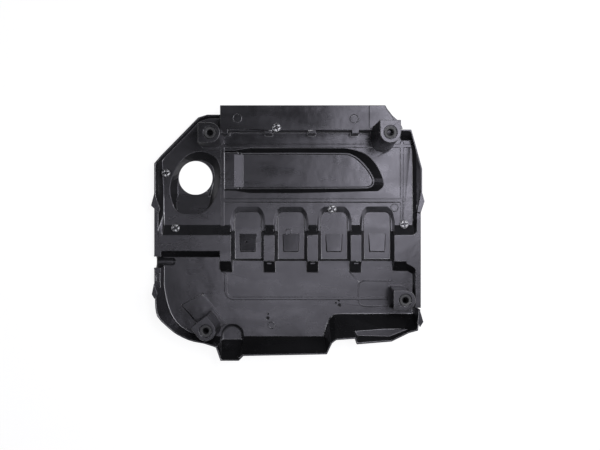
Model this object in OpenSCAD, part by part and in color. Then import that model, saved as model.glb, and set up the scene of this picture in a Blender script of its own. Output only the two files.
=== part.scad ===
// Engine cover: one moulded plastic shell with four rubber grommets and five star
// retainers. It lies on its show face, so +Z looks into its underside, and +Y is
// the edge with the flat flange. Millimetres.

/* [What to build] */
// Sub-part to build, or all of them

/* [Shell] */
// Place of the right-hand wall of the upper floor
right_wall = 214; // [205:0.5:240]
// Place of the left-hand wall of the upper floor
left_wall = -258.5; // [-290:0.5:-250]
// Wall thickness of the moulded shell
wall = 2.6; // [2:0.1:4]
// Height of the upper floor above the lowest inner face
upper_rise = 12.4; // [6:0.2:20]
// Height of the lower floor above the lowest inner face
lower_rise = 3; // [1:0.5:8]
// Height of the ridge above the upper floor
ridge_rise = 11; // [6:0.5:20]
// Height of the flange above the upper floor
flange_rise = 26.5; // [18:0.5:36]
// Height of the upper rim above the ridge
upper_rim_rise = 6; // [3:0.5:20]
// Height of the lower rim above the ridge
lower_rim_rise = 26; // [15:0.5:40]

/* [Arched recesses] */
// Number of arched recesses
recess_count = 4; // [2:1:5]
// Distance from one recess to the next
recess_pitch = 81.9; // [70:0.1:90]
// Width of a recess panel
recess_width = 50.2; // [40:0.2:60]
// How far a recess panel lies below the upper floor
recess_drop = 4.5; // [2:0.5:8]

/* [Mounting posts] */
// Radius of the round end of a post
post_radius = 18.2; // [14:0.1:24]
// Distance from the grommet axis to the flat end of a post
post_reach = 21.5; // [15:0.5:30]
// How much wider a post is at its foot, per mm of height
post_draft = 0.045; // [0:0.005:0.08]
// Height of the top of the tall post
tall_post_top = 116; // [80:1:140]
// Height of the top of the three lower posts
low_post_top = 64; // [50:1:90]

/* [Grommets] */
// Radius of the ball socket in a grommet
socket_radius = 5.2; // [4:0.1:7]
// Radius of the grommet flange
grommet_radius = 10.6; // [8:0.1:13]
// Radius of the grommet neck in the post
neck_radius = 8.4; // [6:0.1:10]

/* [Retainers] */
// Radius of a star retainer
retainer_radius = 8; // [5:0.1:10]
// Radius of a moulded retainer pin
pin_radius = 2.4; // [1.5:0.1:4]

/* [Oil filler hole] */
// Radius of the oil filler hole
filler_radius = 32.4; // [25:0.2:40]

/* [Hidden] */
// Where the middle of the view falls in the frame
place = [22.85, 13.9, 0];
z_low = wall;
z_lower = z_low + lower_rise;
z_upper = z_low + upper_rise;
z_panel = z_upper - recess_drop;
z_ledge = z_panel + 2;
z_ridge = z_upper + ridge_rise;
z_flange = z_upper + flange_rise;
z_rim_up = z_ridge + upper_rim_rise;
z_rim_low = z_ridge + lower_rim_rise;
over = 60;
flange_thick = 2.2;
seat_depth = 3;
seat_gap = 1.4;
neck_gap = 0.2;
grommet_depth = 9;
post_plate = 6.5;
retainer_thick = 1.2;
recess_first = -99;

// Inner edge of the upper floor, from the lower left corner round to the right
upper_floor = [
    [left_wall, 0], [left_wall, 24.5], [left_wall, 47.5], [left_wall - 3.5, 121.5],
    [left_wall, 127.5], [-191, 197.5], [-175, 203], [-151, 203], [-150.5, 176.6],
    [right_wall - 23, 176.6], [right_wall - 22, 160.5], [right_wall - 2, 160.5],
    [right_wall - 0.5, 142.5], [right_wall, 108.5], [right_wall, 24.5], [right_wall, 0]
];
// The same edge at the height of the ridge
upper_ridge = [
    [left_wall - 1, -19], [left_wall - 8.5, -9.5], [left_wall - 8, 47],
    [left_wall - 7.5, 119.5], [left_wall - 1, 127.7], [-190, 198.5], [-174, 203.8],
    [-149, 203.8], [-148.5, 176.8], [right_wall - 25, 176.8], [right_wall - 24, 168.5],
    [right_wall - 5, 168.5], [right_wall + 1.5, 141], [right_wall + 4.5, 107],
    [right_wall + 6, -11.5], [right_wall + 0.5, -19]
];
// The same edge at the top of the upper rim
upper_rim = [
    [left_wall - 3.5, -20.5], [left_wall - 12.5, -13], [left_wall - 12, 47],
    [left_wall - 12, 114.5], [left_wall - 0.5, 128], [-189.5, 199], [-173.5, 204],
    [-148, 204], [-147.5, 177], [right_wall - 26, 177], [right_wall - 25, 176.4],
    [right_wall - 7.5, 176.4], [right_wall + 3, 139.5], [right_wall + 12.5, 105],
    [right_wall + 12.5, -13], [right_wall + 3, -20.5]
];
upper_eye = [-161, 85];
// Inner edge of the lower floor, from the upper left corner downward and round
lower_floor = [
    [left_wall - 2, -82.5], [left_wall - 2, -117], [left_wall + 1, -136],
    [left_wall + 5.5, -153.5], [left_wall + 13, -174], [left_wall + 24.5, -190],
    [-220.5, -200.5], [-206, -208], [-182, -212.5], [-109, -213], [45, -213], [50, -195.5],
    [56, -181], [66, -171], [86, -170], [right_wall + 1.5, -170], [right_wall + 2, -143.5],
    [right_wall + 2, -94], [right_wall - 7, -87.5], [176, -87], [175, -90], [-129.5, -90],
    [-151.5, -88], [-153.5, -82.5]
];
// The same edge at the rim of the lower skirt
lower_rim = [
    [left_wall - 5, -68], [left_wall - 6, -123], [left_wall - 6, -138],
    [left_wall - 5, -156.5], [left_wall - 1.5, -170], [left_wall + 24, -193.5],
    [-220.5, -202.5], [-200.5, -211.5], [-176, -216], [-105, -238.5], [48, -235.5],
    [54, -222.5], [57.5, -216], [66, -209.5], [95.5, -207.5], [184, -201],
    [right_wall + 1, -192.5], [right_wall + 5, -152.5], [right_wall + 5, -68], [184, -49.5],
    [168.5, -46], [-124, -46], [-145.5, -46], [-147.5, -46]
];
lower_eye = [34, -143];
// Badge recess: its bare panel and its outer edge
badge_panel = [
    [-109, 134.5], [-92, 134.5], [0, 135], [88.5, 134.5], [95, 133.5], [108.5, 127], [123.5, 112],
    [134, 97.5], [139.5, 85.5], [138, 77], [129, 73.5], [0, 72.8], [-92, 72.5],
    [-109, 72.5]
];
badge_edge = [
    [-124, 141.5], [-97, 146], [0, 146], [87.5, 145.5], [111.5, 140.5], [127.5, 133.5], [141, 120.5],
    [151.5, 103], [159, 83], [158, 72.5], [148.5, 64.5], [0, 61], [-97, 61],
    [-124, 65.5]
];
badge_eye = [20, 104];
// Funnel round the oil filler hole: its edge on the upper floor
filler_eye = [-200.5, 90.5];
funnel_edge = [
    [-150.5, 98], [-152.5, 115], [-160, 129], [-175, 137.5], [-191, 140.5], [-209, 136],
    [-224, 124.5], [-236.5, 106.5], [-245, 85.5], [-248, 66.5], [-244, 43.5], [-234, 25],
    [-214.5, 20], [-194, 20], [-176.5, 28.5], [-166, 42], [-157.5, 61], [-152, 81.5]
];
// Plan of the ridge plate with the two side strips
ridge_plan = [
    [left_wall - 15.8, 38], [left_wall + 18.5, 38], [right_wall + 13.5, 38],
    [right_wall + 13.5, -156], [right_wall - 9, -156], [right_wall - 9, -73], [-154, -73],
    [-154, -52], [left_wall + 18.5, -52], [left_wall - 1.5, -58], [left_wall - 1.5, -120],
    [left_wall - 15.8, -120]
];
// Plan of the flange with its right-hand bevel
flange_plan = [
    [-148.5, 178.8], [-148.5, 222.3], [158.5, 222.3], [161.5, 216.5], [171.5, 203.5],
    [179.5, 196.5], [186, 190], [191, 178.8]
];

function turned(p) = [for (i = [len(p) - 1 : -1 : 0]) p[i]];
function unit(v) = v / norm(v);
function side(a, b) = let(d = unit(b - a)) [d[1], -d[0]];
// Outline moved outward by t with mitred corners, for outlines that run counter-clockwise
function grown(p, t) = [for (i = [0 : len(p) - 1])
    let(n = len(p), a = side(p[(i + n - 1) % n], p[i]), b = side(p[i], p[(i + 1) % n]))
    p[i] + t * (a + b) / (1 + a * b)];

// Chain of points with its corners cut to a smooth curve; its two ends stay in place
function eased(p) = concat([p[0]], [for (i = [0 : len(p) - 2]) for (t = [0.25, 0.75])
    if (!(i == 0 && t < 0.5) && !(i == len(p) - 2 && t > 0.5)) p[i] * (1 - t) + p[i + 1] * t],
    [p[len(p) - 1]]);
function part_of(p, a, b) = [for (i = [a : b]) p[i]];
// The same for one stretch of an outline, from point a to point b
function eased_in(p, a, b) = concat(part_of(p, 0, a - 1), eased(part_of(p, a, b)),
    b < len(p) - 1 ? part_of(p, b + 1, len(p) - 1) : []);

// Solid between stacked outlines of equal length; each level is [height, outline]
module loft(levels, eye) {
    n = len(levels[0][1]);
    m = len(levels);
    pts = concat(
        [for (l = levels) for (q = l[1]) [q[0], q[1], l[0]]],
        [[eye[0], eye[1], levels[0][0]], [eye[0], eye[1], levels[m - 1][0]]]);
    faces = concat(
        [for (i = [0 : n - 1]) [m * n, i, (i + 1) % n]],
        [for (k = [0 : m - 2]) for (i = [0 : n - 1])
            [k * n + i, (k + 1) * n + i, (k + 1) * n + (i + 1) % n]],
        [for (k = [0 : m - 2]) for (i = [0 : n - 1])
            [k * n + i, (k + 1) * n + (i + 1) % n, k * n + (i + 1) % n]],
        [for (i = [0 : n - 1]) [m * n + 1, (m - 1) * n + (i + 1) % n, (m - 1) * n + i]]);
    polyhedron(points = pts, faces = faces, convexity = 6);
}

// Four-sided block whose foot and head are different rectangles [x0, x1, y0, y1]
function corners(r) = [[r[0], r[2]], [r[1], r[2]], [r[1], r[3]], [r[0], r[3]]];
module wedge(z0, foot, z1, head) {
    loft([[z0, corners(foot)], [z1, corners(head)]],
        [(foot[0] + foot[1]) / 2, (foot[2] + foot[3]) / 2]);
}
function spread(r, t) = [r[0] - t, r[1] + t, r[2] - t, r[3] + t];

u_floor = turned(upper_floor);
u_ridge = turned(upper_ridge);
u_rim = turned(upper_rim);

module upper_void() {
    loft([[z_upper, u_floor], [z_ridge, u_ridge], [z_rim_up, u_rim],
        [z_rim_up + over, u_rim]], upper_eye);
}
module upper_body() {
    loft([[z_upper - wall, grown(u_floor, wall)], [z_ridge - wall, grown(u_ridge, wall)],
        [z_rim_up, grown(u_rim, wall)]], upper_eye);
}
l_floor = eased_in(lower_floor, 1, 8);
l_rim = eased_in(lower_rim, 1, 8);
module lower_void() {
    loft([[z_lower, l_floor], [z_rim_low, l_rim], [z_rim_low + 20, l_rim]], lower_eye);
}
module lower_body() {
    loft([[z_lower - wall, grown(l_floor, wall)], [z_rim_low, grown(l_rim, wall)]], lower_eye);
}

// Lower floor carried up to the ridge at the left, [x0, x1, y0, y1]
left_foot = [left_wall - 2, -153.5, -110, -61.3];
left_head = [left_wall - 5, -147.5, -110, -33];
module left_void() { wedge(z_lower, left_foot, z_rim_low + 1, left_head); }
module left_body() {
    wedge(z_lower - wall, spread(left_foot, wall), z_ridge,
        spread([left_wall - 3.5, -151, -110, -48.5], wall));
}

// Fingers of the lower floor that reach up between the ends of the ridge plates
function recess_x(i) = recess_first + i * recess_pitch;
finger_foot_y = -67.6;
finger_head_y = -64.6;
finger_half = 30.5;
module finger_void(i) {
    wedge(z_lower, [recess_x(i) - finger_half, recess_x(i) + finger_half, -110, finger_foot_y],
        z_ridge + over, [recess_x(i) - finger_half - 1.2, recess_x(i) + finger_half + 1.2, -110,
        finger_head_y + 6]);
}
module finger_body(i) {
    wedge(z_lower - wall, [recess_x(i) - finger_half - wall, recess_x(i) + finger_half + wall,
        -110, finger_foot_y + wall], z_ridge, [recess_x(i) - finger_half - 1 - wall,
        recess_x(i) + finger_half + 1 + wall, -110, finger_head_y + wall]);
}

// Arched recess: a flat panel between steep sides, and a sloped arch at its upper end
panel_top = 25;
panel_end = -65.5;
half = recess_width / 2;
open_half = 31;
function both_sides(foot, curve) = let(c = concat([foot], eased(curve)))
    concat([[-foot[0], foot[1]]], c, [for (q = part_of(turned(c), 0, len(c) - 2)) [-q[0], q[1]]]);
arch_floor = both_sides([29.4, -12], [[29, 0], [27, 15.5], [19.5, 25.5], [13, 25.5]]);
arch_edge = both_sides([33.4, -12], [[33.4, 9], [29.5, 26.5], [20.5, 36], [13, 36]]);
panel_floor = both_sides([half, panel_end],
    [[half, 12], [half - 1.5, 19], [half - 5.5, panel_top - 0.5], [half - 11, panel_top]]);
panel_head = both_sides([open_half, panel_end - 1],
    [[open_half, -8], [open_half - 2, 10], [half - 4, panel_top + 0.5], [half - 10, panel_top + 1]]);
function at(p, x) = [for (q = p) [q[0] + x, q[1]]];
module arch_void(i) {
    loft([[z_ledge, at(arch_floor, recess_x(i))], [z_upper + 0.2, at(arch_edge, recess_x(i))],
        [z_upper + over, at(arch_edge, recess_x(i))]], [recess_x(i), 8]);
}
module arch_body(i) {
    loft([[z_ledge - wall, at(grown(arch_floor, wall), recess_x(i))],
        [z_upper, at(grown(arch_edge, wall), recess_x(i))]], [recess_x(i), 8]);
}
module panel_void(i) {
    loft([[z_panel, at(panel_floor, recess_x(i))], [z_ridge, at(panel_head, recess_x(i))],
        [z_ridge + over, at(panel_head, recess_x(i))]], [recess_x(i), -20]);
}
module panel_body(i) {
    loft([[z_panel - wall, at(grown(panel_floor, wall), recess_x(i))],
        [z_ridge, at(grown(panel_head, wall), recess_x(i))]], [recess_x(i), -20]);
}

// Louver ramp in a panel, rising toward its lower end
ramp_half = 16;
module ramp(i) {
    x = recess_x(i);
    polyhedron(points = [[x - ramp_half, -17, z_panel - 1], [x + ramp_half, -17, z_panel - 1],
        [x + ramp_half - 1.5, -50.5, z_panel - 1], [x - ramp_half + 1.5, -50.5, z_panel - 1],
        [x - ramp_half, -17, z_panel + 0.1], [x + ramp_half, -17, z_panel + 0.1],
        [x + ramp_half - 2.5, -50, z_panel + 4.5], [x - ramp_half + 2.5, -50, z_panel + 4.5]],
        faces = [[2, 1, 0], [3, 2, 0], [6, 7, 4], [5, 6, 4], [5, 4, 0], [1, 5, 0],
        [6, 5, 1], [2, 6, 1], [7, 6, 2], [3, 7, 2], [4, 7, 3], [0, 4, 3]]);
}

// Narrow tab at the lower end of each ridge plate
tab_half = 4.2;
module plate_tab(x) {
    translate([x - tab_half, -74, z_ridge - wall]) cube([2 * tab_half, 14, wall]);
}

b_panel = turned(eased_in(badge_panel, 3, 10));
b_edge = turned(eased_in(badge_edge, 3, 10));
badge_ledge = 1.9;
shelf_z = z_low + 6.5;
shelf_foot = [[-145, 68.5], [-117, 68.5], [-117, 138.5], [-145, 138.5]];
shelf_head = [[-147, 65.5], [-117, 65.5], [-117, 141.5], [-147, 141.5]];
// Ramp from the shelf down to the panel
module shelf_ramp(y, width, drop) {
    translate([0, y, 0]) rotate([90, 0, 180]) linear_extrude(height = width)
        polygon([[108, z_low + 0.05 - drop], [125.4, shelf_z + 0.1 - drop], [125.4, z_upper - 0.1],
            [108, z_upper - 0.1]]);
}
module badge_void() {
    loft([[z_low, b_panel], [z_low + badge_ledge, grown(b_panel, 0.9)],
        [z_low + badge_ledge, grown(b_panel, 3.6)], [z_upper, b_edge], [z_upper + over, b_edge]],
        badge_eye);
    loft([[shelf_z, shelf_foot], [z_upper, shelf_head], [z_upper + over, shelf_head]], [-130, 104]);
    shelf_ramp(72, 63, 0);
}
module badge_body() {
    loft([[z_low - wall, grown(b_panel, wall)], [z_upper, grown(b_edge, wall)]], badge_eye);
    loft([[shelf_z - wall, grown(shelf_foot, wall)], [z_upper, grown(shelf_head, wall)]],
        [-130, 104]);
    shelf_ramp(70, 67, wall);
}

// Funnel round the oil filler hole: steep sides, and a flat ramp toward the ridge
egg = eased(concat(funnel_edge, [funnel_edge[0]]));
f_edge = part_of(egg, 0, len(egg) - 2);
f_foot = [for (q = f_edge) let(d = q - filler_eye,
    e = [0.73 * d[0], d[1] * (d[1] > 0 ? 0.69 : 0.96)])
    filler_eye + e * max(1, (filler_radius + 0.8) / norm(e))];
ramp_foot_y = 58.5;
ramp_head_y = 21;
function ramp_y(z) = ramp_foot_y - (z - z_low) * (ramp_foot_y - ramp_head_y) / upper_rise;
module over_ramp(drop) {
    translate([filler_eye[0] - 70, 0, -drop]) rotate([90, 0, 90]) linear_extrude(height = 140)
        polygon([[160, z_low - 5], [ramp_y(z_low - 5), z_low - 5], [ramp_y(z_upper + 0.2), z_upper + 0.2],
            [0, z_upper + 0.2], [0, z_upper + 75], [160, z_upper + 75]]);
}
module funnel_void() {
    intersection() {
        loft([[z_low, f_foot], [z_upper, f_edge], [z_upper + over, f_edge]], filler_eye);
        over_ramp(0);
    }
}
module funnel_body() {
    intersection() {
        loft([[z_low - wall, grown(f_foot, wall)], [z_upper, grown(f_edge, wall)]], filler_eye);
        over_ramp(wall);
    }
}

// Half-round passage at the left edge, open to the outside
passage_radius = 10.5;
passage_y = -70;
passage_end = left_wall + 13.5;
module passage(r, head) {
    z_axis = z_low + passage_radius;
    translate([passage_end - 55, passage_y, z_axis]) rotate([0, 90, 0])
        cylinder(r = r, h = 55, $fn = 28);
    translate([passage_end, passage_y, z_axis]) sphere(r = r, $fn = 28);
    translate([passage_end, passage_y, z_axis]) cylinder(r = r, h = head - z_axis, $fn = 28);
    translate([passage_end - 55, passage_y - r, z_axis]) cube([55, 2 * r, head - z_axis]);
}

// Half-round pad in the lower floor, with its bulge down the lower skirt
pad_x = -129.5;
pad_y = -211.5;
pad_radius = 18;
function arc(r, a0, a1, n) = [for (i = [0 : n])
    let(a = a0 + (a1 - a0) * i / n) r * [cos(a), sin(a)]];
function pad_plan(r, tail) = concat([[-r, -tail], [r, -tail]], arc(r, 0, 180, 10));
module pad_void() {
    loft([[z_low, [for (q = pad_plan(pad_radius, 8)) q + [pad_x, pad_y]]],
        [z_lower, [for (q = pad_plan(pad_radius + 4, 10)) q + [pad_x, pad_y]]],
        [z_rim_low + 1, [for (q = pad_plan(pad_radius + 5, 37)) q + [pad_x, pad_y]]]],
        [pad_x, pad_y]);
}
module pad_body() {
    loft([[z_low - wall, [for (q = grown(pad_plan(pad_radius, 8), wall)) q + [pad_x, pad_y]]],
        [z_lower - wall, [for (q = grown(pad_plan(pad_radius + 4, 10), wall)) q + [pad_x, pad_y]]],
        [z_rim_low, [for (q = grown(pad_plan(pad_radius + 5, 36), wall)) q + [pad_x, pad_y]]]],
        [pad_x, pad_y]);
}

// Ledge in the lower right skirt
ledge_z = z_ridge + 14;
module ledge_void() {
    loft([[ledge_z, [[107, -205.5], [167, -207], [202, -193.5], [98, -191.5]]],
        [z_rim_low + 1, [[106, -217.5], [168, -212.5], [206, -193.5], [98, -190]]]], [140, -199]);
}
module ledge_body() {
    loft([[ledge_z - wall, grown([[107, -205.5], [167, -207], [202, -193.5], [98, -191.5]], wall)],
        [z_rim_low, grown([[106, -217], [168, -212], [206, -193.5], [98, -190]], wall)]],
        [140, -199]);
}

// Flange along the upper edge, its wall down to the upper floor and four stepped tabs
flange_y = 176.3;
tab_y = 170.2;
tab_x = [-140.5, -59.2, 22.2, 103.1];
tab_width = 13.6;
module flange() {
    translate([0, 0, z_flange - wall]) linear_extrude(height = wall) polygon(turned(flange_plan));
    translate([0, 0, z_flange - 1]) linear_extrude(height = 1.8) polygon([[128.5, 179.5],
        [180, 179.5], [170.5, 202.5], [160.5, 215.5], [157.8, 221.5], [128.5, 221.5]]);
    translate([-148.5, flange_y, z_upper - 1]) cube([right_wall + 121, wall, flange_rise + 1]);
    for (x = tab_x) translate([x - tab_width / 2, tab_y, z_upper - 1])
        cube([tab_width, flange_y - tab_y + 1, flange_rise + 1]);
    translate([-148.5, flange_y, z_upper - wall]) cube([wall, 30, flange_rise + wall]);
}
module flange_hollows() {
    for (x = tab_x) translate([x - tab_width / 2 + wall, tab_y + wall, -1])
        cube([tab_width - 2 * wall, 6.5, z_flange - wall + 1]);
}

// Mounting post: a round-ended sheath, open on its flat end, with the grommet seat on top
// [x, y, direction of the flat end, top]
posts = [
    [-164, 168, 180, low_post_top + 2],
    [157, 161, 90, tall_post_top],
    [-172, -193.5, 128, low_post_top - 2],
    [right_wall - 21.5, -137.5, 180, low_post_top - 2]
];
function post_plan(r, e, w) = concat(arc(r, -90, 90, 14), [[-e, w], [-e, -w]]);
module post_blank(q, foot, r_less, e_more, top) {
    grow = post_draft * (q[3] - foot);
    translate([q[0], q[1], 0]) rotate([0, 0, q[2] + 180])
        loft([[foot, post_plan(post_radius + grow - r_less, post_reach + e_more,
            post_radius + grow - r_less)],
            [top, post_plan(post_radius + post_draft * (q[3] - top) - r_less,
            post_reach + e_more, post_radius + post_draft * (q[3] - top) - r_less)]], [-2, 0]);
}
module post_solid(q, foot) { post_blank(q, foot, 0, 0, q[3]); }
module post_hollow(q, foot) { post_blank(q, foot, wall, 4, q[3] - post_plate); }
module post_bore(q) {
    translate([q[0], q[1], q[3] - seat_depth])
        cylinder(r = grommet_radius + seat_gap, h = seat_depth + 1, $fn = 64);
    translate([q[0], q[1], q[3] - post_plate - 1])
        cylinder(r = neck_radius + neck_gap, h = post_plate + 2, $fn = 48);
}

// Tail of the lower left post: the track of the slide that forms its hollow
module post_tail() {
    loft([[z_lower - 1, [[-173, -213], [-141, -188.5], [-184, -130], [-228, -153]]],
        [z_lower + 1.5, [[-173, -213], [-142, -188.5], [-187, -131], [-226, -153]]]],
        [-182, -170]);
}

// Shallow raised lines between the fields of the floors
line_width = 6.2;
line_rise = 0.9;
module line_along(path, width, z, rise) {
    for (i = [0 : len(path) - 2]) hull() for (q = [path[i], path[i + 1]])
        translate([q[0], q[1], z - 1]) cylinder(d = width, h = 1 + rise, $fn = 12);
}
function turn_at(corner, r, a0, a1) = [for (a = [a0 : (a1 - a0) / 4 : a1])
    corner + r * [cos(a), sin(a)]];
module floor_lines() {
    line_along([[-146, 150.5], [right_wall - 5, 150.5]], line_width, z_upper, line_rise);
    line_along([[-143, 46.5], [right_wall - 20.5, 46.5]], line_width, z_upper, line_rise);
    line_along([[-147, 0], [-147, 173]], line_width, z_upper, line_rise);
    line_along([[right_wall - 20.5, 0], [right_wall - 20.5, 156]], line_width, z_upper, line_rise);
    line_along(concat([[-142, -95]], turn_at([-127, -125.5], 15, 180, 270), [[168, -140.5]]),
        line_width * 0.8, z_lower, line_rise);
    line_along([[174, -106.5], [122, -106.5], [114.5, -110], [111.5, -117], [111.5, -144],
        [114.5, -151.5], [122, -155], [172, -155]], 1.6, z_lower, 0.5);
}

// Round marks of the ejector pins, [x, y, radius, height of the floor]
eject_marks = [[-116.5, 198.5, 8.5, z_flange], [101, 197, 8.2, z_flange], [179.5, 33, 7.5, z_upper],
    [-22, -13.5, 6.3, z_panel], [-55, -191.7, 6.7, z_lower]];
// Small blind holes left by gates and core pins, [x, y, radius, height of the floor]
core_holes = [[-61.9, -178.3, 3, z_lower], [-61.5, -170.4, 1.6, z_lower], [75.4, -153.4, 3, z_lower],
    [74.1, -145.2, 1.7, z_lower], [68.6, -149.4, 1.7, z_lower], [-102.6, -32.3, 2, z_panel]];
module eject_mark(q) {
    difference() {
        translate([q[0], q[1], q[3] - 1]) cylinder(r = q[2], h = 1.4, $fn = 32);
        translate([q[0], q[1], q[3] + 0.05]) cylinder(r = q[2] - 1.1, h = 1, $fn = 32);
    }
}

// Pointed corners where the skirts end, each a thin wall over a plan
module barb(plan, z0, z1) { translate([0, 0, z0]) linear_extrude(height = z1 - z0) polygon(plan); }
module barbs() {
    barb([for (q = [[-3.5, 30], [-14.3, 60], [-20.5, 36.2], [-5.9, 22.5]]) q + [left_wall, 0]],
        z_ridge - wall, z_rim_up);
    barb([for (q = [[5, 24], [12.1, 22.5], [19.3, 44.4], [13.5, 66]]) q + [right_wall, 0]],
        z_ridge - wall, z_rim_up);
    barb([for (q = [[-3.5, -128], [-10.5, -108], [-14.3, -127.5], [-9.5, -136]]) q + [left_wall, 0]],
        z_rim_low - 9, z_rim_low);
    barb([for (q = [[3, -176], [7, -188], [13, -178.6], [7, -158]]) q + [right_wall, 0]],
        z_rim_low - 9, z_rim_low);
}

// Small clip tab on the left strip of the ridge
module side_tab() {
    translate([left_wall - 14, -107, z_ridge - 1]) difference() {
        cube([9.4, 16, 4.5]);
        translate([2, 3, 2]) cube([10, 10, 4]);
    }
}

// Pins for the star retainers: [x, y, height of the foot, height of the shoulder]
pins = [
    [left_wall + 5, 98.5, z_upper, z_upper + 5],
    [-235, -5.5, z_upper, z_upper + 8],
    [-43.5, 180.5, z_flange, z_flange + 2],
    [61, 30.5, z_panel, z_upper + 3],
    [right_wall - 16.5, 1.5, z_upper, z_upper + 5]
];
pin_tip = 3.2;
shoulder_radius = 5;
module pin(q) {
    translate([q[0], q[1], q[2] - 2]) cylinder(r = shoulder_radius, h = q[3] - q[2] + 2, $fn = 32);
    translate([q[0], q[1], q[3] - 1]) cylinder(r = pin_radius, h = pin_tip + 1, $fn = 24);
}

module cover_solid() {
    difference() {
        union() {
            upper_body();
            lower_body();
            left_body();
            badge_body();
            funnel_body();
            pad_body();
            ledge_body();
            passage(passage_radius + wall, z_ridge);
            for (i = [0 : recess_count - 1]) {
                finger_body(i);
                arch_body(i);
                panel_body(i);
            }
            translate([0, 0, z_ridge - wall]) linear_extrude(height = wall)
                polygon(turned(ridge_plan));
        }
        upper_void();
        lower_void();
        left_void();
        badge_void();
        funnel_void();
        pad_void();
        ledge_void();
        passage(passage_radius, z_ridge + over);
        for (i = [0 : recess_count - 1]) {
            finger_void(i);
            arch_void(i);
            panel_void(i);
        }
        translate([left_wall - 50, -118, z_ridge]) cube([58.5, 156, over]);
        translate([right_wall - 14, -155, z_ridge]) cube([60, 193, over]);
        translate([left_wall - 50, -68, z_ridge]) cube([right_wall - left_wall + 100, 106, over]);
        translate([left_wall - 51.3, -110, -10]) cube([35, 140, over]);
    }
}

// Everything of the moulding but its round bores
module moulding() {
    difference() {
        union() {
            cover_solid();
            flange();
            floor_lines();
            for (q = eject_marks) eject_mark(q);
            barbs();
            side_tab();
            for (i = [0 : recess_count - 1]) ramp(i);
            for (i = [0 : recess_count - 2]) plate_tab(recess_x(i) + recess_pitch / 2);
            post_solid(posts[0], z_upper - 1);
            post_solid(posts[1], z_upper - 1);
            post_solid(posts[2], z_lower - 1);
            post_solid(posts[3], z_lower - 1);
            post_tail();
            for (q = pins) pin(q);
        }
        flange_hollows();
        post_hollow(posts[0], z_upper);
        post_hollow(posts[1], z_upper);
        post_hollow(posts[2], z_lower + 1.5);
        post_hollow(posts[3], z_lower);
        for (q = core_holes) translate([q[0], q[1], q[3] - 1.4]) cylinder(r = q[2], h = 4, $fn = 16);
    }
}

module cover() {
    color([0.11, 0.11, 0.12]) translate(place) difference() {
        moulding();
        for (q = posts) post_bore(q);
        translate([filler_eye[0], filler_eye[1], -10]) cylinder(r = filler_radius, h = 60, $fn = 96);
    }
}

// Rubber grommet: flange in the seat, neck through the post plate, ball socket below
module grommet(q) {
    color([0.06, 0.06, 0.065]) translate(place) translate([q[0], q[1], q[3] - seat_depth])
        difference() {
            union() {
                cylinder(r = grommet_radius, h = flange_thick, $fn = 64);
                translate([0, 0, seat_depth - post_plate - 1]) cylinder(r = neck_radius,
                    h = post_plate - seat_depth + 1.5, $fn = 48);
                translate([0, 0, seat_depth - post_plate - grommet_depth]) cylinder(
                    r = grommet_radius - 0.6, h = grommet_depth, $fn = 64);
            }
            translate([0, 0, seat_depth - post_plate - grommet_depth - 1])
                cylinder(r = socket_radius, h = grommet_depth + post_plate + 4, $fn = 40);
            translate([0, 0, seat_depth - post_plate - 4]) sphere(r = socket_radius + 1.4, $fn = 48);
        }
}
module grommet_upper_left() { grommet(posts[0]); }
module grommet_upper_right() { grommet(posts[1]); }
module grommet_lower_left() { grommet(posts[2]); }
module grommet_lower_right() { grommet(posts[3]); }

// Steel star retainer: a thin dished washer cut by a cross, pushed on its pin
slot_width = 2;
module retainer(q, turn) {
    color([0.72, 0.73, 0.75]) translate(place) translate([q[0], q[1], q[3]])
        rotate([0, 0, turn]) difference() {
            cylinder(r = retainer_radius, h = retainer_thick, $fn = 48);
            translate([0, 0, -1]) cylinder(r = pin_radius, h = retainer_thick + 2, $fn = 24);
            for (a = [0, 90, 180, 270]) rotate([0, 0, a])
                translate([pin_radius - 0.6, -slot_width / 2, -1])
                cube([retainer_radius * 0.62, slot_width, retainer_thick + 2]);
        }
}
module retainer_upper_left() { retainer(pins[0], 8); }
module retainer_lower_left() { retainer(pins[1], 28); }
module retainer_flange() { retainer(pins[2], 12); }
module retainer_arch() { retainer(pins[3], 40); }
module retainer_right() { retainer(pins[4], 5); }

cover();
grommet_upper_left();
grommet_upper_right();
grommet_lower_left();
grommet_lower_right();
retainer_upper_left();
retainer_lower_left();
retainer_flange();
retainer_arch();
retainer_right();
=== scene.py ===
"""Looks of a moulded engine cover that lies on its show face, with its underside up."""

import math

import bmesh
import bpy
import numpy as np
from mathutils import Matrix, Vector
from mathutils.bvhtree import BVHTree


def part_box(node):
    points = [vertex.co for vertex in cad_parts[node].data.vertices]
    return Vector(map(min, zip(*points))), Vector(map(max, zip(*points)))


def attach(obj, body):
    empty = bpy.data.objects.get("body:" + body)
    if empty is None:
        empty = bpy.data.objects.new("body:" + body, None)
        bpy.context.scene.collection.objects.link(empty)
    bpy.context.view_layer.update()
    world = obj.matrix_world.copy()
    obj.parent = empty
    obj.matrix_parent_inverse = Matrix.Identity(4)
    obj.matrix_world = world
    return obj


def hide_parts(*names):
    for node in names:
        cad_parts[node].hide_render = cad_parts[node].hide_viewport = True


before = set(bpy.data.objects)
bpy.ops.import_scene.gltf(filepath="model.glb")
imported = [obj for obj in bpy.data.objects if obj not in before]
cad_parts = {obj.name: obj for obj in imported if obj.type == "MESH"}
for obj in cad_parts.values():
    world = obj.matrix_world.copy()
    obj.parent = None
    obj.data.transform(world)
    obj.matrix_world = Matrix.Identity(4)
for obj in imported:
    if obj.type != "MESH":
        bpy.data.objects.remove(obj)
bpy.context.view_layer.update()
MM = 0.001
# Place of the camera, in millimetres
VIEW_X, VIEW_Y, VIEW_Z = 22.85, 13.9, 1170.0
# Middle and half width of the bulge in the lower skirt, and below which y and by what
# share it narrows
BULGE_X, BULGE_REACH, BULGE_Y, BULGE_TAPER = -106.65, 30.0, -232.0, 0.34
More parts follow.
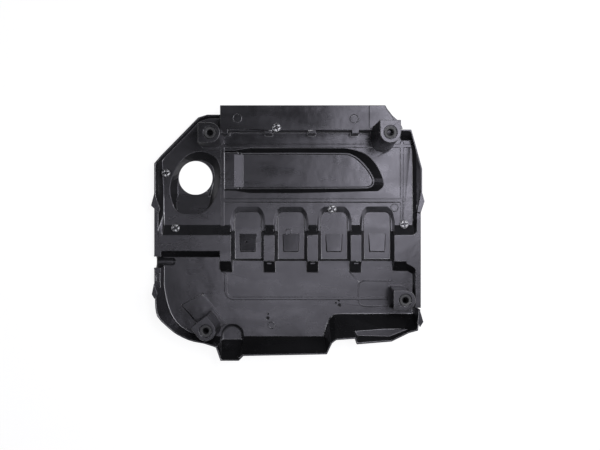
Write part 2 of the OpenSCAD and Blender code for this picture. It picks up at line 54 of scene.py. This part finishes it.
# Round fields where the edges get no painted highlight, as x, y and radius in millimetres: the
# funnel, and the corner of the lower floor behind the lower left post
NO_EDGE_HIGHLIGHT_FIELDS = ((-199.8, 90.6, 43.0), (-146.0, -150.0, 32.0))
# Small blind holes left by core pins, as x, y and radius in millimetres
CORE_HOLES = ((-39.05, -164.4, 3.0), (-38.65, -156.5, 1.6), (98.25, -139.5, 3.0),
              (96.95, -131.3, 1.7), (91.45, -135.5, 1.7), (-79.75, -18.4, 2.0))
# Turn of each star retainer's cross, in degrees
STAR_TURNS = {"upper_left": 12, "lower_left": 33, "flange": 14, "arch": 33, "right": 8}
# Radius that the inner and the outer edges of the moulding are rolled by
INNER_ROLL, OUTER_ROLL = 1.7 * MM, 0.7 * MM
# Least angles, in radians, at which an edge is rolled, may stay a crease, or shows that its
# wall is curved
ROLLED_ANGLE, CREASE_ANGLE, CURVE_ANGLE = 0.40, 0.1, 0.01
# Height of a normal on a level face, and least area of a large face
LEVEL, LARGE_FACE = 0.999, 30 * MM ** 2
# Kinds of the moulding's faces: strip of a roll, facet of a curved wall, and flat
STRIP, FACET, FLAT = 0, 1, 2
# Tint of the lamps
LAMP_TINT = (0.95, 0.945, 1.0)


# Surfaces
def grid_mesh(name, points, wrap_u=False, wrap_v=False):
    """Mesh of a surface given as an array [rows, columns, 3] in millimetres.
    Each cell of the grid is one quad; a wrapped direction joins its last line to its first."""
    rows, cols = points.shape[:2]
    r = np.arange(rows if wrap_u else rows - 1)
    c = np.arange(cols if wrap_v else cols - 1)
    rr, cc = np.meshgrid(r, c, indexing="ij")
    r1, c1 = (rr + 1) % rows, (cc + 1) % cols
    quads = np.stack([rr * cols + cc, rr * cols + c1, r1 * cols + c1, r1 * cols + cc], -1)
    mesh = bpy.data.meshes.new(name)
    mesh.from_pydata((points.reshape(-1, 3) * MM).tolist(), [], quads.reshape(-1, 4).tolist())
    mesh.validate()
    return mesh


def add_piece(name, mesh, material, smooth_angle=0.6):
    """Puts a finished mesh into the scene as a piece that rides with the cover."""
    bm = bmesh.new()
    bm.from_mesh(mesh)
    bmesh.ops.remove_doubles(bm, verts=bm.verts, dist=1e-6)
    bmesh.ops.recalc_face_normals(bm, faces=bm.faces)
    bm.to_mesh(mesh)
    bm.free()
    mesh.polygons.foreach_set("use_smooth", np.ones(len(mesh.polygons), bool))
    mesh.set_sharp_from_angle(angle=smooth_angle)
    for edge in mesh.edges:
        edge.use_edge_sharp = edge.use_edge_sharp or edge.use_seam
    mesh.materials.append(material)
    piece = bpy.data.objects.new(name, mesh)
    bpy.context.scene.collection.objects.link(piece)
    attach(piece, "root")
    return piece


def turned_profile(profile, count=64):
    """Surface of revolution: each profile point (r, z) is carried round the Z axis,
    x = r cos a, y = r sin a, for count even steps of a."""
    a = np.linspace(0, 2 * math.pi, count, endpoint=False)[:, None]
    r, z = np.asarray(profile, float).T
    return np.stack([np.cos(a) * r, np.sin(a) * r, np.ones_like(a) * z], -1)


def rounded_corner(profile, radius, steps=4):
    """Open profile with each inner corner replaced by a quadratic arc that starts and
    ends a radius away from the corner, or at the middle of a shorter side."""
    p = np.asarray(profile, float)
    out = [p[0]]
    for before, here, after in zip(p[:-2], p[1:-1], p[2:]):
        a, b = before - here, after - here
        la, lb = np.linalg.norm(a), np.linalg.norm(b)
        cut = min(radius, la * 0.49, lb * 0.49)
        start, end = here + a / la * cut, here + b / lb * cut
        t = np.linspace(0, 1, steps + 1)[:, None]
        out.extend((1 - t) ** 2 * start + 2 * t * (1 - t) * here + t ** 2 * end)
    out.append(p[-1])
    return np.array(out)


# Materials
def new_material(name):
    """Empty surface material, with its nodes, links, shader and source of coordinates."""
    mat = bpy.data.materials.new(name)
    mat.use_nodes = True
    nodes, links = mat.node_tree.nodes, mat.node_tree.links
    nodes.clear()
    out = nodes.new("ShaderNodeOutputMaterial")
    bsdf = nodes.new("ShaderNodeBsdfPrincipled")
    links.new(bsdf.outputs[0], out.inputs[0])
    place = nodes.new("ShaderNodeTexCoord")
    return mat, nodes, links, bsdf, place


def noise(nodes, links, place, scale, detail=2.0, rough=0.5, stretch=(1, 1, 1)):
    """Noise over the object's own metres, at scale cells per metre along each stretched axis."""
    at = nodes.new("ShaderNodeMapping")
    at.inputs["Scale"].default_value = stretch
    links.new(place.outputs["Object"], at.inputs["Vector"])
    n = nodes.new("ShaderNodeTexNoise")
    n.inputs["Scale"].default_value = scale
    n.inputs["Detail"].default_value = detail
    n.inputs["Roughness"].default_value = rough
    links.new(at.outputs[0], n.inputs["Vector"])
    return n.outputs["Fac"]


def spread(nodes, links, value, low, high, low_in=0.3, high_in=0.7):
    """Carries the value from its own range, low_in to high_in, to low and high."""
    m = nodes.new("ShaderNodeMapRange")
    m.inputs["From Min"].default_value = low_in
    m.inputs["From Max"].default_value = high_in
    m.inputs["To Min"].default_value = low
    m.inputs["To Max"].default_value = high
    links.new(value, m.inputs["Value"])
    return m.outputs[0]


def joined(nodes, links, operation, first, second):
    """One value from two, by a sum or the larger of them."""
    node = nodes.new("ShaderNodeMath")
    node.operation = operation
    links.new(first, node.inputs[0])
    links.new(second, node.inputs[1])
    return node.outputs[0]


def bump_over(nodes, links, normal, height, strength, distance):
    """Normal that a height pattern tilts, on top of another normal if there is one."""
    bump = nodes.new("ShaderNodeBump")
    bump.inputs["Strength"].default_value = strength
    bump.inputs["Distance"].default_value = distance
    links.new(height, bump.inputs["Height"])
    if normal:
        links.new(normal, bump.inputs["Normal"])
    return bump.outputs[0]


def tint_between(nodes, links, share, dark, light):
    """Colour that runs from a dark to a light tone with the share."""
    tint = nodes.new("ShaderNodeMix")
    tint.data_type = "RGBA"
    tint.inputs[6].default_value = (*dark, 1)
    tint.inputs[7].default_value = (*light, 1)
    links.new(share, tint.inputs[0])
    return tint.outputs[2]


def share_from(nodes, attribute):
    """Share that each face of the mesh carries in an attribute."""
    node = nodes.new("ShaderNodeAttribute")
    node.attribute_name = attribute
    return node.outputs["Fac"]


def moulded_black():
    """Black moulded plastic: a satin surface with fine grain, shallow sink marks, cloudy
    flow marks in its gloss, coarse core holes, and rolled edges with a painted highlight: a
    strong coat that only they carry."""
    mat, nodes, links, bsdf, place = new_material("moulded_black")
    cloud = noise(nodes, links, place, 9.0, detail=4.0, rough=0.55)
    streak = noise(nodes, links, place, 30.0, detail=3.0, stretch=(0.35, 1.6, 1))
    flow = joined(nodes, links, "ADD", cloud, streak)
    satin = spread(nodes, links, flow, 0.23, 0.35, low_in=0.75, high_in=1.25)
    roughness, coarse = nodes.new("ShaderNodeMix"), 0.95
    links.new(share_from(nodes, "coarse"), roughness.inputs[0])
    links.new(satin, roughness.inputs[2])
    roughness.inputs[3].default_value = coarse
    links.new(roughness.outputs[0], bsdf.inputs["Roughness"])
    links.new(tint_between(nodes, links, spread(nodes, links, cloud, 0, 1),
                           (0.0055, 0.0055, 0.0058), (0.0095, 0.0095, 0.0100)),
              bsdf.inputs["Base Color"])
    bsdf.inputs["Specular IOR Level"].default_value = 0.5
    bsdf.inputs["Specular Tint"].default_value = (0.92, 0.90, 1.0, 1)
    soft_edge = nodes.new("ShaderNodeBevel")
    soft_edge.samples = 8
    soft_edge.inputs["Radius"].default_value = 1.1 * MM
    sinks = noise(nodes, links, place, 15.0, detail=3.0, stretch=(1, 0.8, 1))
    sunk = bump_over(nodes, links, soft_edge.outputs[0], sinks, 1.0, 1.5 * MM)
    grain = noise(nodes, links, place, 1500.0, rough=0.6)
    links.new(bump_over(nodes, links, sunk, grain, 0.45, 0.06 * MM), bsdf.inputs["Normal"])
    # Painted highlight: the rolled share drives a strong coat, so that the rolled edges reflect
    # the lamps far brighter than the rest of the plastic
    links.new(share_from(nodes, "rolled"), bsdf.inputs["Coat Weight"])
    bsdf.inputs["Coat IOR"].default_value = 3.4
    bsdf.inputs["Coat Roughness"].default_value = 0.30
    links.new(soft_edge.outputs[0], bsdf.inputs["Coat Normal"])
    return mat


def grommet_rubber():
    """Black rubber: darker and softer in its shine than the plastic."""
    mat, nodes, links, bsdf, place = new_material("grommet_rubber")
    cloud = noise(nodes, links, place, 90.0, detail=3.0)
    links.new(tint_between(nodes, links, cloud, (0.010, 0.010, 0.011), (0.022, 0.022, 0.023)),
              bsdf.inputs["Base Color"])
    links.new(spread(nodes, links, cloud, 0.42, 0.6), bsdf.inputs["Roughness"])
    grain = noise(nodes, links, place, 900.0)
    links.new(bump_over(nodes, links, None, grain, 0.3, 0.08 * MM), bsdf.inputs["Normal"])
    return mat


def spring_steel():
    """Bright pressed spring steel with fine rolling marks."""
    mat, nodes, links, bsdf, place = new_material("spring_steel")
    bsdf.inputs["Metallic"].default_value = 1.0
    roll = noise(nodes, links, place, 700.0, stretch=(1, 0.08, 1))
    links.new(tint_between(nodes, links, roll, (0.15, 0.15, 0.154), (0.30, 0.30, 0.306)),
              bsdf.inputs["Base Color"])
    links.new(spread(nodes, links, roll, 0.28, 0.42), bsdf.inputs["Roughness"])
    return mat


# Moulded cover
def roll_weights(bm):
    """Share of the inner radius that each edge is rolled by: all of it where a wall meets a
    floor, less on an outer corner, and never more than a share of the shortest edge beside
    it and of its own length."""
    share_beside, share_along = 0.4, 0.8
    weights = np.zeros(len(bm.edges))
    for e in bm.edges:
        if len(e.link_faces) != 2 or e.calc_face_angle(0) < ROLLED_ANGLE:
            continue
        want = OUTER_ROLL if e.is_convex else INNER_ROLL
        beside = min(o.calc_length() for v in e.verts for o in v.link_edges if o is not e)
        most = min(share_beside * beside, share_along * e.calc_length())
        weights[e.index] = min(want, most) / INNER_ROLL
    return weights


def merged_cover(node):
    """Copy of the cover with its loose triangles merged and its flats joined. The lower end
    of the bulge in the skirt narrows."""
    bm = bmesh.new()
    bm.from_mesh(node.data)
    bmesh.ops.remove_doubles(bm, verts=bm.verts, dist=1e-5)
    bmesh.ops.join_triangles(bm, faces=bm.faces, angle_face_threshold=0.002,
                             angle_shape_threshold=1.2)
    for v in bm.verts:
        out = v.co.x - BULGE_X * MM
        if abs(out) < BULGE_REACH * MM and v.co.y < BULGE_Y * MM:
            v.co.x -= out * BULGE_TAPER
    bm.edges.index_update()
    bm.edges.ensure_lookup_table()
    bm.faces.ensure_lookup_table()
    return bm


def bends(edge, low, high):
    """Whether the two faces at an edge meet at an angle between low and high."""
    return len(edge.link_faces) == 2 and low < edge.calc_face_angle(0) < high


def mark_creases(bm):
    """Marks the low edges that stay crisp: those between a floor and a slope, and those
    between two large faces."""
    for e in bm.edges:
        e.seam = (bends(e, CREASE_ANGLE, ROLLED_ANGLE)
                  and (max(abs(f.normal.z) for f in e.link_faces) > LEVEL
                       or min(f.calc_area() for f in e.link_faces) > LARGE_FACE))


def rolled_copy(bm, weights):
    """Mesh of the merged cover with its edges rolled over by their weights."""
    mesh = bpy.data.meshes.new("merged_cover")
    bm.to_mesh(mesh)
    mesh.attributes.new("bevel_weight_edge", "FLOAT", "EDGE").data.foreach_set("value", weights)
    rough = bpy.data.objects.new("merged_cover", mesh)
    bpy.context.scene.collection.objects.link(rough)
    roll = rough.modifiers.new("roll", "BEVEL")
    roll.limit_method, roll.width, roll.segments = "WEIGHT", INNER_ROLL, 3
    roll.use_clamp_overlap, roll.miter_outer = False, "MITER_ARC"
    depsgraph = bpy.context.evaluated_depsgraph_get()
    rolled = bpy.data.meshes.new_from_object(rough.evaluated_get(depsgraph))
    bpy.data.objects.remove(rough)
    return rolled


def within(place, circle, spare=0.0):
    """Whether a place in metres lies in an upright cylinder x, y, radius in millimetres."""
    x, y, radius = circle
    return math.hypot(place.x / MM - x, place.y / MM - y) <= radius + spare


def put_back(bm, wall, foot):
    """Puts corners that the roll threw off the wall, or below its foot, back on the nearest
    point of the wall."""
    widest_gap = 0.8 * INNER_ROLL
    for v in bm.verts:
        point, _, _, gap = wall.find_nearest(v.co)
        if gap > widest_gap or v.co.z < foot:
            v.co = point


def face_shares(bm, wall, curved):
    """What each face carries, from how well its normal agrees with that of the wall below it.
    Rolled: the share of painted edge highlight, which grows as they agree less. Coarse: whether
    the
    face lies in a core hole. Kind: a strip where they differ, or else a facet or a flat."""
    same, first_painted_sheen, painted_sheen_range, hole_rim = 0.9995, 0.99, 0.25, 0.3
    shares = {"rolled": [], "coarse": [], "kind": []}
    for f in bm.faces:
        middle = f.calc_center_median()
        _, normal, source, _ = wall.find_nearest(middle)
        agree = f.normal.dot(normal)
        # Painted highlight: faces that lean off the wall below get the strong coat, and none in
        # the fields kept free of it
        shine = min(1.0, max(0.0, first_painted_sheen - agree) / painted_sheen_range)
        no_edge_highlight = any(within(middle, field) for field in NO_EDGE_HIGHLIGHT_FIELDS)
        shares["rolled"].append(0.0 if no_edge_highlight else shine)
        shares["coarse"].append(any(within(middle, hole, hole_rim) for hole in CORE_HOLES))
        on_wall = FACET if curved[source] else FLAT
        shares["kind"].append(STRIP if agree < same else on_wall)
    return shares


def shade_as_planned(mesh):
    """Gives every flat its own normal up to its border. A facet of a curved wall takes the
    mean of the facets it meets at that corner, and a rolled strip takes the normal of the
    flat or facet beside it that it leans to most."""
    one_curve = 0.9
    kind = np.zeros(len(mesh.polygons))
    mesh.attributes["kind"].data.foreach_get("value", kind)
    facing = [p.normal.copy() for p in mesh.polygons]
    meets = [[] for _ in mesh.vertices]
    for p in mesh.polygons:
        if kind[p.index] != STRIP:
            for v in p.vertices:
                meets[v].append(p.index)
    normals = [c.vector.copy() for c in mesh.corner_normals]
    for p in mesh.polygons:
        for corner, v in zip(p.loop_indices, p.vertices):
            if not meets[v]:
                continue
            lead = p.index if kind[p.index] != STRIP else max(
                meets[v], key=lambda g: facing[g].dot(facing[p.index]))
            if kind[lead] == FLAT:
                normals[corner] = facing[lead]
            else:
                near = [facing[g] for g in meets[v]
                        if kind[g] == FACET and facing[g].dot(facing[lead]) > one_curve]
                normals[corner] = sum(near, Vector()).normalized()
    mesh.normals_split_custom_set(normals)


def moulded_shell(node, material):
    """The cover with its sharp edges rolled over as a mould leaves them, while the low edges
    of its slopes stay crisp."""
    bm = merged_cover(node)
    weights = roll_weights(bm)
    mark_creases(bm)
    curved = [any(bends(e, CURVE_ANGLE, ROLLED_ANGLE) and not e.seam for e in f.edges)
              for f in bm.faces]
    wall = BVHTree.FromBMesh(bm)
    foot = min(v.co.z for v in bm.verts)
    rolled = rolled_copy(bm, weights)
    bm.free()
    bm = bmesh.new()
    bm.from_mesh(rolled)
    put_back(bm, wall, foot)
    bmesh.ops.triangulate(bm, faces=[f for f in bm.faces if len(f.verts) > 4],
                          quad_method="BEAUTY", ngon_method="EAR_CLIP")
    bm.normal_update()
    shares = face_shares(bm, wall, curved)
    bm.to_mesh(rolled)
    bm.free()
    for share, values in shares.items():
        rolled.attributes.new(share, "FLOAT", "FACE").data.foreach_set("value", values)
    rolled.name = "moulded_shell"
    piece = add_piece("moulded_shell", rolled, material,
                      smooth_angle=0.7)
    shade_as_planned(piece.data)
    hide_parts("cover")
    return piece


# Grommets and retainers
def round_place(node):
    """Middle, radius, foot and top of a round node, in millimetres."""
    low, high = np.array(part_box(node)) / MM
    middle = (low + high) / 2 * (1, 1, 0)
    return middle, (high[0] - low[0]) / 2, low[2], high[2]


def rubber_grommet(node, name, material):
    """Grommet turned from one profile: a lip with a rounded edge, a neck, a bulb below the
    plate, and a socket whose mouth is rounded and whose middle is a ball."""
    middle, lip, foot, top = round_place(node)
    neck, socket, rounding = lip - 2.2, 5.2, 0.7
    ball_radius, ball_depth = 6.5, 9.7
    outside = rounded_corner([
        (socket + 0.1, top - 1.2), (socket + 1.1, top - 0.3), (lip, top), (lip, top - 2.1),
        (neck, top - 2.3), (neck, top - 5.7), (lip - 0.7, top - 5.8), (lip - 0.9, foot),
        (socket, foot)], rounding)
    cavity = [(max(ball_radius * math.cos(a), socket),
               top - ball_depth + ball_radius * math.sin(a))
              for a in np.linspace(-50, 50, 9) * math.pi / 180]
    profile = list(outside) + cavity
    turned = grid_mesh(name, turned_profile(profile + [profile[0]], count=56) + middle,
                       wrap_u=True)
    piece = add_piece(name, turned, material, smooth_angle=0.9)
    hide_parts(node)
    return piece


def star_retainer(node, name, material, turn):
    """Push-on star washer: four tongues round a hole, parted by a cross of slots and joined
    by a narrow outer ring. Across a tongue, s from -1 to 1, its height falls as 1 - 0.75 s^2,
    and from the hole to the ring, t from 0 to 1, it follows sin(pi (0.25 + 0.7 t)). The ring
    rises inward by a quarter of its width."""
    middle, reach, foot, _ = round_place(node)
    rim = reach - 0.05
    slot, hole, thick = 1.2, 2.4, 0.25
    inner = rim * 0.93
    tongue_foot, tongue_rise = foot + 0.3, 0.85
    patches = []
    for k in range(4):
        r = np.linspace(hole, inner, 8)[:, None]
        s = np.linspace(-1, 1, 13)[None, :]
        half_tongue = math.pi / 4 - np.arcsin(slot / 2 / r)
        a = s * half_tongue + math.radians(turn + 45) + k * math.pi / 2
        t = (r - hole) / (inner - hole)
        z = tongue_foot + tongue_rise * (1 - 0.75 * s ** 2) * np.sin(math.pi * (0.25 + 0.7 * t))
        patches.append(np.stack([r * np.cos(a), r * np.sin(a), z], -1))
    r = np.array([inner, rim - 0.2, rim])[:, None]
    a = np.linspace(0, 2 * math.pi, 65)[None, :]
    z = (foot + 0.05 + 0.25 * (rim - r)) * np.ones_like(a)
    patches.append(np.stack([r * np.cos(a), r * np.sin(a), z], -1))
    bm = bmesh.new()
    for patch in patches:
        bm.from_mesh(grid_mesh(name, patch + middle))
    bmesh.ops.remove_doubles(bm, verts=bm.verts, dist=2e-6)
    mesh = bpy.data.meshes.new(name)
    bm.to_mesh(mesh)
    bm.free()
    piece = add_piece(name, mesh, material, smooth_angle=0.9)
    sheet = piece.modifiers.new("sheet", "SOLIDIFY")
    sheet.thickness = thick * MM
    sheet.offset = -1
    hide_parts(node)
    return piece


# Stage
def floor_material():
    """White to the camera and in reflections, where a pale floor glows, and grey paint to
    every other ray, so that it takes the cover's shadow and throws little light on it."""
    mat = bpy.data.materials.new("pale_floor")
    mat.use_nodes = True
    nodes, links = mat.node_tree.nodes, mat.node_tree.links
    nodes.clear()
    out = nodes.new("ShaderNodeOutputMaterial")
    mixed = nodes.new("ShaderNodeMixShader")
    paint = nodes.new("ShaderNodeBsdfDiffuse")
    pale = nodes.new("ShaderNodeBsdfDiffuse")
    glow = nodes.new("ShaderNodeEmission")
    white = nodes.new("ShaderNodeAddShader")
    ray = nodes.new("ShaderNodeLightPath")
    paint.inputs["Color"].default_value = (0.45, 0.45, 0.45, 1)
    pale.inputs["Color"].default_value = (0.2, 0.2, 0.2, 1)
    glow.inputs["Color"].default_value = (1, 1, 1, 1)
    glow.inputs["Strength"].default_value = 0.86
    links.new(pale.outputs[0], white.inputs[0])
    links.new(glow.outputs[0], white.inputs[1])
    mirrored = joined(nodes, links, "MAXIMUM", ray.outputs["Is Glossy Ray"],
                      ray.outputs["Is Transmission Ray"])
    seen = joined(nodes, links, "MAXIMUM", ray.outputs["Is Camera Ray"], mirrored)
    links.new(seen, mixed.inputs[0])
    links.new(paint.outputs[0], mixed.inputs[1])
    links.new(white.outputs[0], mixed.inputs[2])
    links.new(mixed.outputs[0], out.inputs[0])
    return mat


def pale_floor():
    """Level square just below the cover."""
    reach, level = 4000.0, -0.3
    mesh = grid_mesh("floor", np.array([[[-reach, -reach, level], [reach, -reach, level]],
                                        [[-reach, reach, level], [reach, reach, level]]]))
    mesh.materials.append(floor_material())
    floor = bpy.data.objects.new("floor", mesh)
    bpy.context.scene.collection.objects.link(floor)


def soft_panel(name, place, toward, size, power):
    """Rectangular soft light at a place in metres, facing a point."""
    lamp = bpy.data.lights.new(name, "AREA")
    lamp.shape = "RECTANGLE"
    lamp.size, lamp.size_y = size
    lamp.energy = power
    lamp.color = LAMP_TINT
    panel = bpy.data.objects.new(name, lamp)
    panel.location = place
    panel.rotation_euler = (Vector(place) - Vector(toward)).to_track_quat("Z", "Y").to_euler()
    bpy.context.scene.collection.objects.link(panel)


def studio():
    """White to the camera and dim to the cover all round, with three soft panels over it and
    three at its sides."""
    world = bpy.data.worlds.new("studio")
    bpy.context.scene.world = world
    world.use_nodes = True
    nodes, links = world.node_tree.nodes, world.node_tree.links
    nodes.clear()
    out = nodes.new("ShaderNodeOutputWorld")
    backdrop = nodes.new("ShaderNodeBackground")
    fill = nodes.new("ShaderNodeBackground")
    mixed = nodes.new("ShaderNodeMixShader")
    ray = nodes.new("ShaderNodeLightPath")
    backdrop.inputs["Color"].default_value = (1, 1, 1, 1)
    backdrop.inputs["Strength"].default_value = 1.0
    fill.inputs["Color"].default_value = (0.9, 0.95, 1, 1)
    fill.inputs["Strength"].default_value = 0.07
    links.new(ray.outputs["Is Camera Ray"], mixed.inputs[0])
    links.new(fill.outputs[0], mixed.inputs[1])
    links.new(backdrop.outputs[0], mixed.inputs[2])
    links.new(mixed.outputs[0], out.inputs[0])
    cx, cy = VIEW_X * MM, VIEW_Y * MM
    ceiling = 1.5
    for name, x, y, size, power in (("key", 0.42, 0.34, (0.34, 0.80), 10.7),
                                    ("overhead", -0.02, -0.22, (0.76, 0.58), 4.8),
                                    ("far_right", 1.05, 0.05, (0.28, 1.5), 7.5)):
        soft_panel(name, (cx + x, cy + y, ceiling), (cx + x, cy + y, 0), size, power)
    soft_panel("right_side", (cx + 1.45, cy, 1.35), (cx, cy, 0), (1.7, 0.40), 9)
    soft_panel("far_top", (cx, cy + 1.2, 1.3), (cx, cy, 0), (1.8, 0.10), 1.6)
    soft_panel("left_side", (cx - 1.3, cy, 1.35), (cx, cy, 0), (0.22, 1.6), 5)


def camera():
    """Looks straight down on the cover."""
    lens = bpy.data.cameras.new("camera")
    lens.sensor_width = 36.0
    lens.lens = 36.48
    lens.clip_start, lens.clip_end = 0.05, 20
    view = bpy.data.objects.new("camera", lens)
    view.location = (VIEW_X * MM, VIEW_Y * MM, VIEW_Z * MM)
    bpy.context.scene.collection.objects.link(view)
    bpy.context.scene.camera = view


camera()
studio()
pale_floor()
plastic, rubber, steel = moulded_black(), grommet_rubber(), spring_steel()
moulded_shell(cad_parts["cover"], plastic)
for corner in ("upper_left", "upper_right", "lower_left", "lower_right"):
    rubber_grommet("grommet_" + corner, "rubber_grommet_" + corner, rubber)
for where, turn in STAR_TURNS.items():
    star_retainer("retainer_" + where, "star_retainer_" + where, steel, turn)

bpy.context.scene.view_settings.view_transform = "Standard"
